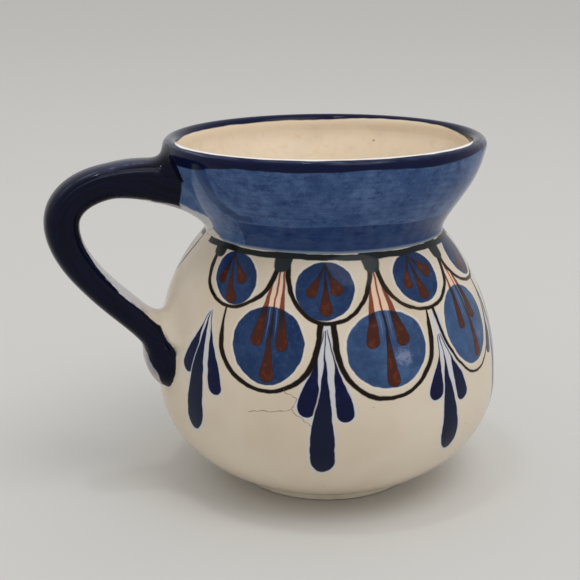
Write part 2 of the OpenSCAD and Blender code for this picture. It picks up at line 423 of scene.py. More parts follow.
def lathe(name, rows, runs, heights, sharp, node, ring=False):
    """A turned piece: each row of the section becomes a ring of points, or one point on the axis."""
    angles = -math.pi + 2 * math.pi * np.arange(COLUMNS) / COLUMNS
    rings = []
    for (r, z), run in zip(rows, runs):
        at = angles if r > ON_AXIS else angles[:1]
        rings.append(hand_made(np.full(len(at), r), np.full(len(at), z), at, run > section_run[top_row]))
    points = np.concatenate(rings)
    sizes = [len(one) for one in rings]
    starts = np.cumsum([0] + sizes).tolist()
    count = len(rows)
    faces = []
    maps = []
    for i in range(count if ring else count - 1):
        k = (i + 1) % count
        low, high = heights[i], heights[i + 1]
        for j in range(COLUMNS):
            n = (j + 1) % COLUMNS
            left, right = j / COLUMNS, (j + 1) / COLUMNS
            if sizes[i] == 1:
                faces.append((starts[i], starts[k] + n, starts[k] + j))
                maps.append([((left + right) / 2, low), (right, high), (left, high)])
            elif sizes[k] == 1:
                faces.append((starts[i] + j, starts[i] + n, starts[k]))
                maps.append([(left, low), (right, low), ((left + right) / 2, high)])
            else:
                faces.append((starts[i] + j, starts[i] + n, starts[k] + n, starts[k] + j))
                maps.append([(left, low), (right, low), (right, high), (left, high)])
    piece = new_piece(name, points, faces, node)
    mesh = piece.data
    layer = mesh.uv_layers.new(name="OFBake")
    for face, spots in zip(mesh.polygons, maps):
        places = dict(zip(faces[face.index], spots))
        for loop in face.loop_indices:
            layer.uv[loop].vector = places[mesh.loops[loop].vertex_index]
    ring_of = np.repeat(np.arange(count), sizes)
    hard = np.zeros(len(mesh.edges), bool)
    for edge in mesh.edges:
        a, b = edge.vertices
        hard[edge.index] = ring_of[a] == ring_of[b] and ring_of[a] in sharp
    marks = mesh.attributes.new("sharp_edge", "BOOLEAN", "EDGE")
    marks.data.foreach_set("value", hard)
    give(piece, "run", np.repeat(runs, sizes))
    give(piece, "strap_gap", np.minimum(on_strap(points)[3], FAR_GAP))
    return piece


def stretch(first, last):
    """Row numbers of the section from first to last, with both ends kept."""
    picked = np.arange(first, last, ROW_STRIDE)
    return np.append(picked[: -1 if last - picked[-1] < ROW_STRIDE / 2 else None], last)


# Margin of the map, and how large the hidden underside and the inside of the belly are in it
MAP_MARGIN = 0.01
UNDER_WEIGHT = 0.3
INNER_WEIGHT = 0.35


def map_heights(rows, weights, ring=False):
    """Heights in the map, each row's step weighted, spread between two margins."""
    loop = np.concatenate([rows, rows[:1]]) if ring else rows
    weights = np.append(weights, weights[-1]) if ring else weights
    steps = np.linalg.norm(np.diff(loop, axis=0), axis=1) * weights[: len(loop) - 1]
    climbed = np.concatenate([[0], np.cumsum(steps)])
    return MAP_MARGIN + (1 - 2 * MAP_MARGIN) * climbed / climbed[-1]


def make_belly():
    under = np.stack([np.linspace(0, BELLY_BASE, UNDER_ROWS + 1)[:-1], np.full(UNDER_ROWS, foot_top)], 1)
    outer = stretch(0, neck_row)
    inner = stretch(neck_inner_row, len(section) - 1)
    rows = np.concatenate([under, section[outer], section[inner]])
    runs = np.concatenate([np.full(UNDER_ROWS, section_run[0]), section_run[outer], section_run[inner]])
    weights = np.repeat([UNDER_WEIGHT, 1, INNER_WEIGHT], [UNDER_ROWS, len(outer), len(inner)])
    edges = {UNDER_ROWS, UNDER_ROWS + len(outer) - 1, UNDER_ROWS + len(outer)}
    return lathe("thrown_belly", rows, runs, map_heights(rows, weights), edges, "belly")


def make_ring(name, rows, runs, edges, node):
    heights = map_heights(rows, np.ones(len(rows)), True)
    return lathe(name, rows, runs, heights, edges, node, True)


def make_collar():
    outer = stretch(neck_row, lip_row)
    inner = stretch(lip_inner_row, neck_inner_row)
    edges = {0, len(outer) - 1, len(outer), len(outer) + len(inner) - 1}
    picked = np.concatenate([outer, inner])
    return make_ring("painted_collar", section[picked], section_run[picked], edges, "collar")


def make_lip():
    picked = np.append(np.arange(lip_row, lip_inner_row, 2), lip_inner_row)
    edges = {0, len(picked) - 1}
    return make_ring("rolled_lip", section[picked], section_run[picked], edges, "lip")


def make_foot():
    outline = np.array([
        [LAND_INNER - 1, foot_top],
        [LAND_INNER + 0.2, 0.25],
        [LAND_INNER + 0.7, 0],
        [foot_radius - 0.9, 0],
        [foot_radius - 0.35, 0.3],
        [foot_radius - 0.3, 1.2],
        [foot_radius, foot_top],
    ])
    rows = even_line(outline, FOOT_STEP)
    rows[:, 1] = np.maximum(rows[:, 1], 0)
    runs = np.full(len(rows), section_run[0])
    return make_ring("turned_foot", rows, runs, {0, len(rows) - 1}, "foot_ring")


def strap_marks(piece, points, wash=1.0):
    """Stores the wash, the length along and the distance round the strap at each point of a piece."""
    place, out, side, gap = on_strap(points)
    give(piece, "wash", np.full(len(points), wash))
    give(piece, "along", along_strap(strap_along, place))
    give(piece, "round", np.radians(strap_turn(place, out, side)) * along_strap(strap_half_w, place))
    return strap_paint(place, out, side), gap


# Value of the collar's blue on pieces that it doesn't reach
NO_BLUE = -99.0
TAIL_CAP = 0.3
# How strongly points are pulled back out of the wall, and how often
PULL_OUT = 1.2
PULLS = 2


def make_handle():
    turns = 2 * math.pi * np.arange(STRAP_SIDES) / STRAP_SIDES
    power = 2 / SQUARENESS
    across = np.sign(np.cos(turns)) * np.abs(np.cos(turns)) ** power
    aside = np.sign(np.sin(turns)) * np.abs(np.sin(turns)) ** power
    place = strap_line[:, None, :] + (strap_half_t[:, None] * across)[..., None] * strap_out[:, None, :]
    y = strap_side[:, None] + strap_half_w[:, None] * aside
    points = np.stack([-place[..., 0], y, place[..., 1]], -1).reshape(-1, 3)
    root_end = len(points)
    last = (STRAP_RINGS - 1) * STRAP_SIDES
    faces = []
    for a in range(0, last, STRAP_SIDES):
        b = a + STRAP_SIDES
        for j in range(STRAP_SIDES):
            n = (j + 1) % STRAP_SIDES
            faces.append((a + j, a + n, b + n, b + j))
    for j in range(STRAP_SIDES):
        n = (j + 1) % STRAP_SIDES
        faces.append((n, j, root_end))
        faces.append((last + j, last + n, root_end + 1))
    ends = np.array([
        [-strap_line[0, 0], strap_side[0], strap_line[0, 1]],
        [-strap_line[-1, 0], strap_side[-1], strap_line[-1, 1] - TAIL_CAP],
    ])
    points = np.concatenate([points, ends])
    for _ in range(PULLS):
        deep = np.minimum(wall_gap(points) + ROOT_SINK, 0)
        reach = np.hypot(points[:, 0], points[:, 1])
        points[:, :2] *= (1 - PULL_OUT * deep / reach)[:, None]
    piece = new_piece("pulled_handle", points, faces, "handle")
    give(piece, "painted", strap_marks(piece, points)[0])
    give(piece, "blue", np.full(len(points), NO_BLUE))
    return piece


def surface_net(values, low, step):
    """Points and quads of the zero surface of a field on an even grid, negative inside."""
    shape = np.array(values.shape)
    total = np.zeros((*(shape - 1), 3))
    count = np.zeros(shape - 1)
    for axis in range(3):
        first, second = [a for a in range(3) if a != axis]
        for i, j in ((0, 0), (0, 1), (1, 0), (1, 1)):
            start = [slice(0, n - 1) for n in shape]
            start[first] = slice(i, shape[first] - 1 + i)
            start[second] = slice(j, shape[second] - 1 + j)
            end = list(start)
            end[axis] = slice(1, shape[axis])
            a, b = values[tuple(start)], values[tuple(end)]
            cross = (a < 0) != (b < 0)
            total[..., axis] += np.where(cross, a / np.where(cross, a - b, 1), 0)
            total[..., first] += cross * i
            total[..., second] += cross * j
            count += cross
    active = count > 0
    index = np.full(count.shape, -1)
    index[active] = np.arange(active.sum())
    points = low + step * (np.argwhere(active) + total[active] / count[active][:, None])
    quads = []
    for axis in range(3):
        first, second = (axis + 1) % 3, (axis + 2) % 3
        inner = [slice(1, n - 1) for n in shape]
        inner[axis] = slice(0, shape[axis] - 1)
        beyond = list(inner)
        beyond[axis] = slice(1, shape[axis])
        a, b = values[tuple(inner)] < 0, values[tuple(beyond)] < 0
        for cross, order in ((a & ~b, (0, 1, 2, 3)), (~a & b, (3, 2, 1, 0))):
            cell = np.argwhere(cross)
            cell[:, first] += 1
            cell[:, second] += 1
            around = []
            for i, j in ((1, 1), (0, 1), (0, 0), (1, 0)):
                near = cell.copy()
                near[:, first] -= i
                near[:, second] -= j
                around.append(index[tuple(near.T)])
            quads.append(np.stack([around[o] for o in order], 1))
    return points, np.concatenate(quads)


# Joining clay: how far its skin lies under the fillet's, how deep it goes, and the share of its spread shown
LUTING_SINK = 0.02
LUTING_DEPTH = 0.5
LUTING_SHOWN = 0.94
# Steps that draw the skin on to its field, their longest length and the reach of the slope
SKIN_STEPS = 3
SKIN_REACH = 0.1
SKIN_NUDGE = 0.02
# Boxes that hold the joining clay
ROOT_BOX = (-58, -12, 70), (-34, 18, 99.6)
TAIL_BOX = (-66, -16, 24), (-42, 12, 68)


def luting_field(spread):
    """A field for joining clay in the corner between strap and wall, spread wide as told at each point."""

    def field(points):
        strap = on_strap(points)[3]
        wall = wall_gap(points)
        reach = spread(points)
        apart = np.abs(strap - wall)
        nearer = np.minimum(strap, wall)
        blended = nearer - (np.maximum(reach - apart, 0) / reach) ** 2 * reach / 4
        edge = (apart - LUTING_SHOWN * reach) / 2
        return np.maximum(np.maximum(blended + LUTING_SINK, -(nearer + LUTING_DEPTH)), edge)

    return field


def make_luting(name, node, box, spread):
    """Joining clay within a box, as a closed skin on its field."""
    low, high = np.array(box, float)
    axes = [np.arange(a, b, NET_STEP) for a, b in zip(low, high)]
    grid = np.stack(np.meshgrid(*axes, indexing="ij"), -1)
    field = luting_field(spread)
    values = field(grid.reshape(-1, 3)).reshape(grid.shape[:3])
    points, quads = surface_net(values, low, NET_STEP)
    for _ in range(SKIN_STEPS):
        here = field(points)
        slope = np.stack([
            field(points + move) - field(points - move) for move in SKIN_NUDGE * np.eye(3)
        ], 1) / (2 * SKIN_NUDGE)
        step = here / np.maximum((slope**2).sum(1), 0.2)
        points = points - np.clip(step, -SKIN_REACH, SKIN_REACH)[:, None] * slope
    return new_piece(name, points, quads.tolist(), node), points


def off_side(points):
    """1 above and below the strap, 0 at its sides."""
    place, out, side, _ = on_strap(points)
    turn = np.radians(strap_turn(place, out, side))
    return ease(np.abs(np.cos(turn)) * 1.6 - 0.2)


def inner_side(points):
    """1 before the strap's inner face, 0 at its sides and outer face."""
    place, out, _, _ = on_strap(points)
    return ease((-out / along_strap(strap_half_t, place) - 0.1) / 0.7)


def make_root_luting():
    """Joining clay round the root: cobalt above, the collar's blue on the wall, bare clay below."""
    def spread(points):
        return mix(2.6, mix(4.2, 5.2, ease((points[:, 2] - 82) / 9)), off_side(points))

    piece, points = make_luting("root_luting", "upper_luting", ROOT_BOX, spread)
    strap_marks(piece, points, 0.8)
    z = points[:, 2]
    off_wall = np.clip(wall_gap(points), 0, 4)
    give(piece, "painted", np.minimum(z - 86.0 + 1.1 * off_wall, off_wall + 0.52 * (z - 89.6)))
    give(piece, "blue", z - 79.4 - 1.1 * off_wall)
    return piece


def make_tail_luting():
    """Joining clay round the tail, thickest in the corner above it, painted close to the strap only."""
    def spread(points):
        return mix(1.4, 8.0, ease((points[:, 2] - 40) / 8) * inner_side(points))

    piece, points = make_luting("tail_luting", "lower_luting", TAIL_BOX, spread)
    painted, gap = strap_marks(piece, points, 0.0)
    reach = mix(0.9, 1.0, ease((48 - points[:, 2]) / 4))
    give(piece, "painted", np.minimum(painted, reach - gap))
    give(piece, "blue", np.full(len(points), NO_BLUE))
    return piece


class Value:
    """A number or vector that shader nodes work out at each point. Sums and products add Math nodes."""

    def __init__(self, nodes, socket):
        self.nodes = nodes
        self.socket = socket

    def __add__(self, other):
        return self.nodes.math("ADD", self, other)

    def __sub__(self, other):
        return self.nodes.math("SUBTRACT", self, other)

    def __rsub__(self, other):
        return self.nodes.math("SUBTRACT", other, self)

    def __mul__(self, other):
        return self.nodes.math("MULTIPLY", self, other)

    def __truediv__(self, other):
        return self.nodes.math("DIVIDE", self, other)

    def __pow__(self, other):
        return self.nodes.math("POWER", self, other)

    def __neg__(self):
        return self.nodes.math("SUBTRACT", 0.0, self)

    def __abs__(self):
        return self.nodes.math("ABSOLUTE", self)

    __radd__ = __add__
    __rmul__ = __mul__


class Nodes:
    """Shader nodes put into an emptied tree, each handed on as the value that it works out."""

    def __init__(self, tree):
        self.tree = tree
        tree.nodes.clear()

    def feed(self, socket, value):
        if isinstance(value, Value):
            self.tree.links.new(value.socket, socket)
        elif value is not None:
            socket.default_value = value

    def node(self, kind, *inputs, out=0, **settings):
        made = self.tree.nodes.new(kind)
        for name, value in settings.items():
            setattr(made, name, value)
        for socket, value in zip(made.inputs, inputs):
            self.feed(socket, value)
        return Value(self, made.outputs[out])

    def math(self, operation, *inputs, clamp=False):
        return self.node("ShaderNodeMath", *inputs, operation=operation, use_clamp=clamp)

    def vector(self, operation, *inputs, scale=None):
        out = 1 if operation in ("DOT_PRODUCT", "LENGTH", "DISTANCE") else 0
        made = self.node("ShaderNodeVectorMath", *inputs, operation=operation, out=out)
        if scale is not None:
            self.feed(made.socket.node.inputs["Scale"], scale)
        return made

    def ramp(self, value, low, high, start=0.0, end=1.0):
        """From start at low to end at high, smooth between and level beyond."""
        return self.node("ShaderNodeMapRange", value, low, high, start, end, interpolation_type="SMOOTHSTEP")

    def finish(self, kind, shader):
        """Ends the tree with an output node."""
        self.feed(self.tree.nodes.new(kind).inputs[0], shader)


class Paint(Nodes):
    """A material under construction. Its places are in millimetres."""

    def __init__(self, name):
        self.material = bpy.data.materials.new(name)
        self.material.use_nodes = True
        super().__init__(self.material.node_tree)
        self.spot = self.vector("SCALE", self.node("ShaderNodeTexCoord", out="Object"), scale=1 / MM)
        parts = self.node("ShaderNodeSeparateXYZ", self.spot).socket.node
        self.x, self.y, self.z = (Value(self, socket) for socket in parts.outputs)

    def attribute(self, name):
        return self.node("ShaderNodeAttribute", attribute_name=name, out="Fac")

    def noise(self, wavelength, detail=2.0, rough=0.5, place=None, out=0, shift=0.0):
        """Soft noise from 0 to 1 whose lumps are about a wavelength apart."""
        made = self.node("ShaderNodeTexNoise", out=out, noise_dimensions="4D")
        inputs = made.socket.node.inputs
        self.feed(inputs["Vector"], place or self.spot)
        inputs["W"].default_value = shift
        inputs["Scale"].default_value = 1 / wavelength
        inputs["Detail"].default_value = detail
        inputs["Roughness"].default_value = rough
        return made

    def wobble(self, wavelength, shift=0.0):
        """Soft noise to either side of zero, in three directions."""
        return self.vector("SUBTRACT", self.noise(wavelength, 1.0, out=1, shift=shift), (0.5, 0.5, 0.5))

    def pair(self, u, v, w=0.0):
        return self.node("ShaderNodeCombineXYZ", u, v, w)

    def part(self, vector, axis):
        """One of a vector's three numbers."""
        return self.vector("DOT_PRODUCT", vector, [float(i == axis) for i in range(3)])

    def flat(self, vector):
        """A vector with its third number left out."""
        return self.vector("MULTIPLY", vector, (1.0, 1.0, 0.0))

    def least(self, first, *others):
        for other in others:
            first = self.math("MINIMUM", first, other)
        return first

    def most(self, a, b):
        return self.math("MAXIMUM", a, b)

    def limited(self, value, low, high):
        return self.most(self.least(value, high), low)

    def inked(self, gap, soft):
        """Cover of paint for a distance from its edge: 1 inside, 0 outside."""
        return self.math("MULTIPLY_ADD", gap, -1 / soft, 0.5, clamp=True)

    def over(self, cover, below, above):
        """Colour above laid on colour below."""
        made = self.node("ShaderNodeMix", cover, out=2, data_type="RGBA")
        self.feed(made.socket.node.inputs[6], below)
        self.feed(made.socket.node.inputs[7], above)
        return made

    def lay(self, below, above, gap, soft, cover=None):
        """Colour above laid on colour below, inside an edge, thinner where a cover is given."""
        inked = self.inked(gap, soft)
        return self.over(inked if cover is None else inked * cover, below, above)

    def pick(self, cell, rows):
        """For each numbered cell its own three numbers, none below zero."""
        made = self.node("ShaderNodeValToRGB", (cell + 0.5) / len(rows))
        band = made.socket.node.color_ramp
        band.interpolation = "CONSTANT"
        while len(band.elements) < len(rows):
            band.elements.new(1.0)
        for i, row in enumerate(rows):
            band.elements[i].position = i / len(rows)
            band.elements[i].color = (*row, 1.0)
        return made

    def drop(self, at, top, bulb, thin, swell, long=0.0):
        """Distance from a brush drop and the share of its length: thin at its top, swelling to a bulb.

        A bulb's third number is its radius. The swelling is a power, or the shares where it starts and ends.
        """
        line = self.vector("SUBTRACT", self.flat(bulb), top)
        gone = self.vector("SUBTRACT", at, top)
        square = self.vector("DOT_PRODUCT", line, line)
        whole = self.vector("DOT_PRODUCT", gone, line) / square
        share = self.limited(whole, 0.0, 1.0)
        foot = self.math("MULTIPLY_ADD", self.most(whole - 1.0, 0.0), long, share) if long else share
        reach = self.vector("DISTANCE", gone, self.vector("SCALE", line, scale=foot))
        growth = self.ramp(share, *swell) if isinstance(swell, tuple) else share**swell
        return reach - self.math("MULTIPLY_ADD", growth, self.part(bulb, 2) - thin, thin), share

    def segment(self, at, start, end):
        """Distance from a straight line between two points, given by their first two numbers."""
        line = [b - a for a, b in zip(start, end)] + [0.0]
        gone = self.vector("SUBTRACT", at, (*start, 0.0))
        square = sum(v * v for v in line)
        share = self.math("DIVIDE", self.vector("DOT_PRODUCT", gone, line), square, clamp=True)
        return self.vector("DISTANCE", gone, self.vector("SCALE", line, scale=share))

    def glaze(self, colour, roughness, height, depth, shine):
        """Ends the material as clear glaze over a colour, with a soft relief of a given depth."""
        bump = self.tree.nodes.new("ShaderNodeBump")
        bump.inputs["Strength"].default_value = 1.0
        bump.inputs["Distance"].default_value = depth * MM
        self.feed(bump.inputs["Height"], height)
        shader = self.node("ShaderNodeBsdfPrincipled")
        inputs = shader.socket.node.inputs
        self.feed(inputs["Base Color"], colour)
        self.feed(inputs["Roughness"], roughness)
        self.feed(inputs["Normal"], Value(self, bump.outputs[0]))
        inputs["IOR"].default_value = 1.5
        inputs["Specular IOR Level"].default_value = shine
        self.finish("ShaderNodeOutputMaterial", shader)
        return self.material


def linear(*levels):
    """A colour given as on a screen, 0 to 255, as the shader wants it."""
    shares = [level / 255 for level in levels]
    return *(v / 12.92 if v <= 0.04045 else ((v + 0.055) / 1.055) ** 2.4 for v in shares), 1.0


# Side that the photograph was taken from
CAMERA_SIDE = math.radians(-109.0)

# Shine of the glazes, and depth of their relief in millimetres
GLAZE_SHINE = 0.13
DARK_SHINE = 0.11
RELIEF = 0.12
BELLY_RELIEF = 0.10

# Colours of the slips and the glaze, and of the painted sheen, highlights, reflection and shade
CREAM = linear(227, 214, 195)
CREAM_DARK = linear(217, 201, 178)
INSIDE = linear(245, 227, 201)
COLLAR_BLUE = linear(56, 81, 127)
COLLAR_LIGHT = linear(102, 127, 168)
# Dark blue of the collar, also used for its painted reflection band
COLLAR_DARK = linear(26, 46, 92)
STROKE_DARK = linear(15, 45, 92)
LIP_COBALT = linear(15, 22, 56)
# Painted sheen along the lip's crest
LIP_PAINTED_SHEEN = linear(74, 78, 112)
# Painted highlight along the lip's inner edge
PAINTED_RIM_HIGHLIGHT = linear(254, 252, 248)
HANDLE_COBALT = linear(14, 18, 44)
# Painted sheen on the outer face of the handle's upper stretch
HANDLE_PAINTED_SHEEN = linear(80, 82, 112)
HANDLE_BLACK = linear(8, 10, 25)
DISC_BLUE = linear(29, 51, 92)
DISC_LIGHT = linear(76, 106, 148)
DISC_DARK = linear(24, 44, 86)
HALO = linear(232, 226, 218)
PENDANT_HALO = linear(209, 210, 217)
RUST = linear(76, 37, 26)
RUST_DARK = linear(40, 32, 40)
RUST_LIGHT = linear(118, 60, 36)
RUST_LINE = linear(134, 71, 50)
PEACH = linear(246, 206, 178)
STREAK = linear(136, 146, 178)
PENDANT = linear(11, 17, 56)
PENDANT_DARK = linear(20, 28, 50)
PENDANT_LIGHT = linear(40, 44, 96)
OUTLINE = linear(24, 17, 12)
OUTLINE_THIN = linear(72, 54, 32)
CHARCOAL = linear(30, 33, 36)
SLATE = linear(38, 47, 48)
SPECK = linear(120, 88, 62)
WASH = linear(125, 132, 156)
# Pale blue, for the thin paint above the neck crease and for the painted highlight lines on lip and handle
PALE_BLUE = linear(146, 158, 174)
CRACK = linear(112, 86, 60)
PEACH_CLAY = linear(232, 202, 172)
PALE_CLAY = linear(204, 207, 213)
FOOT = linear(236, 226, 206)
# Dark for the foot: painted shade in the crease, and wear with a painted contact shadow on the land
WEAR_AND_PAINTED_SHADE = linear(98, 84, 70)

# Softness of painted edges, in millimetres
EDGE = 0.3
DROP_EDGE = 0.25
HALO_EDGE = 0.5

# Layout of the painted border: cells of equal angle, counted from the handle's near side
FIRST_CELL = math.radians(-146.0)
CELL_ANGLE = math.radians(37.7)
CELL_LENGTH = 24.0
SMALL_COUNT = 9
BIG_COUNT = 8
# Sideways places are stored with this added, because a colour band holds no number below zero
ASIDE = 50.0


def placed(rows):
    return [(ASIDE + u, v, w) for u, v, w in rows]


# Small medallions: sideways place, run and half width of each
SMALL_DISCS = placed([
    (-0.1, 8.8, 6.9), (-0.6, 10.3, 7.7), (0.3, 8.6, 7.1), (-0.6, 7.0, 6.6), (-0.3, 9.7, 7.4),
    (0.2, 9.0, 6.9), (-0.2, 9.5, 7.3), (0.3, 9.1, 7.1), (0.0, 9.3, 6.8),
])
# Tops and bulbs of their three drops; a bulb's third number is its radius, and a top's the slant of all
SMALL_TOPS = placed([
    (-1.3, 2.2, 0.3), (-0.6, 3.0, 0), (-0.4, 2.2, 0), (0.2, 2.4, 0), (-0.4, 2.6, 0.05),
    (0.3, 2.2, 0), (-0.3, 2.6, 0.05), (0.2, 2.3, 0), (0.0, 2.4, 0),
])
SMALL_LEFT = placed([
    (-4.2, 10.0, 1.35), (-3.8, 10.7, 1.6), (-3.2, 10.0, 1.5), (-3.6, 10.3, 1.5), (-4.0, 10.8, 1.7),
    (-3.3, 10.1, 1.5), (-3.9, 10.6, 1.6), (-3.4, 10.2, 1.5), (-3.6, 10.4, 1.6),
])
SMALL_RIGHT = placed([
    (2.4, 8.9, 1.6), (2.6, 10.3, 1.7), (4.0, 7.4, 1.9), (3.4, 9.2, 1.6), (3.0, 10.1, 1.7),
    (3.6, 8.8, 1.7), (3.1, 10.0, 1.6), (3.5, 9.3, 1.7), (3.2, 9.6, 1.6),
])
SMALL_MIDDLE = placed([
    (-0.8, 14.0, 1.7), (0.0, 15.5, 1.8), (0.7, 13.4, 1.8), (-0.4, 11.8, 1.7), (-0.3, 15.0, 1.8),
    (0.4, 14.0, 1.7), (-0.1, 14.8, 1.8), (0.3, 14.2, 1.7), (0.0, 14.5, 1.7),
])
# Scallops round the small medallions: sideways place, half width and drop below their middle run
SMALL_SCALLOPS = placed([
    (0.6, 10.5, 10.0), (0.5, 10.7, 12.3), (0.3, 11.1, 10.9), (-0.8, 11.0, 8.3), (-0.3, 11.0, 11.6),
    (0.3, 11.2, 10.8), (-0.2, 10.9, 11.5), (0.2, 11.2, 11.0), (0.1, 11.2, 10.8),
])
SMALL_SCALLOP_RUN = 6.7
# Big medallions, their drops and scallops in the same way
BIG_DISCS = placed([
    (-0.6, 25.3, 10.0), (1.0, 26.1, 11.2), (0.3, 24.8, 10.0), (0.3, 25.9, 10.4), (-0.4, 26.2, 10.8),
    (0.5, 25.6, 10.1), (-0.3, 26.0, 10.6), (0.2, 25.7, 10.2),
])
BIG_LEFT = placed([
    (-3.6, 23.6, 1.9), (-2.9, 23.8, 1.9), (-2.8, 24.0, 1.5), (-3.2, 23.9, 1.8), (-3.5, 24.2, 1.9),
    (-2.9, 23.6, 1.7), (-3.3, 24.0, 1.8), (-3.0, 23.8, 1.8),
])
BIG_RIGHT = placed([
    (3.6, 24.8, 1.75), (5.3, 23.9, 2.0), (3.7, 22.4, 1.7), (4.2, 24.3, 1.8), (3.9, 24.9, 1.9),
    (4.6, 23.8, 1.8), (4.0, 24.6, 1.8), (4.3, 24.1, 1.8),
])
BIG_MIDDLE = placed([
    (0.0, 32.6, 2.05), (1.9, 34.0, 2.0), (2.6, 33.0, 1.6), (0.8, 33.2, 2.0), (0.1, 33.8, 2.1),
    (1.2, 32.9, 1.9), (0.4, 33.5, 2.0), (0.9, 33.1, 2.0),
])
BIG_SCALLOPS = placed([
    (-0.8, 13.6, 12.5), (0.9, 13.5, 14.2), (1.4, 13.4, 13.5), (0.2, 13.7, 13.8), (-0.4, 13.8, 14.1),
    (0.5, 13.6, 13.6), (-0.2, 13.8, 14.0), (0.3, 13.6, 13.7),
])
BIG_SCALLOP_RUN = 24.6
# How pale each big medallion is, how much paler where its wash is thin, and its pale bloom
BIG_TONES = [
    (0.0, 0.2, 0.0), (0.3, 0.55, 0.75), (0.44, 0.4, 0.3), (0.15, 0.4, 0.2), (0.05, 0.3, 0.5),
    (0.3, 0.4, 0.0), (0.1, 0.3, 0.4), (0.2, 0.4, 0.2),
]
# Pendants of three cobalt drops below the small scallops; the third number of a top is the rise of its white
PENDANT_TOPS = placed([
    (-4.6, 19.4, 0.2), (-0.2, 20.8, 3), (2.1, 25.0, 5), (0.4, 19.2, 3), (-0.5, 20.2, 3),
    (0.6, 19.0, 3), (-0.3, 19.8, 3), (0.4, 19.4, 3), (0.0, 19.2, 3),
])
PENDANT_LEFT = placed([
    (-10.3, 34.8, 2.4), (-5.2, 40.6, 2.6), (-0.9, 39.6, 2.3), (-3.9, 34.5, 2.0), (-5.0, 40.9, 2.3),
    (-4.1, 39.6, 2.1), (-4.8, 40.6, 2.3), (-4.2, 40.0, 2.2), (-4.6, 39.4, 2.2),
])
PENDANT_RIGHT = placed([
    (0.3, 38.8, 2.1), (5.1, 42.3, 2.3), (9.2, 41.6, 2.2), (5.6, 41.2, 2.0), (4.8, 42.4, 2.1),
    (5.8, 41.0, 2.0), (5.1, 42.0, 2.1), (5.5, 41.4, 2.0), (5.2, 40.6, 2.0),
])
PENDANT_MIDDLE = placed([
    (-7.4, 47.5, 3.2), (-1.1, 54.4, 3.3), (4.6, 52.4, 3.0), (1.2, 53.6, 2.9), (-0.6, 55.0, 3.0),
    (1.6, 53.2, 2.8), (-0.2, 54.6, 3.0), (1.0, 53.8, 2.9), (0.2, 52.8, 2.8),
])
# Half thickness of the lines and stems, and how much more a scallop's line has at its sides
SMALL_LINE = 0.52
BIG_LINE = 0.6
NECK_LINE = 0.95
PENDANT_STEM = 0.15
SMALL_STEM = 0.2
HEAVY_SIDES = 0.22
# Runs of the top and foot of the fan of lines above a big medallion, and the place of a medallion's bloom
FAN_TOP = 5.0
FAN_FOOT = 16.0
BLOOM_PLACE = (ASIDE + 5.0, 28.6, 0.0)
# Lines of a hairline crack below the first big medallion, as distance round from its angle and height
CRACK_ANGLE = math.radians(-119.0)
CRACK_FORK = (0.0, 35.6)
CRACK_LINES = [
    ((-11.6, 34.1), CRACK_FORK),
    (CRACK_FORK, (1.6, 38.9)),
    ((1.6, 38.9), (-2.2, 41.0)),
    (CRACK_FORK, (5.5, 31.7)),
]
# Cells per millimetre, of which a few hold a speck in the glaze
SPECK_SCALE = 0.3


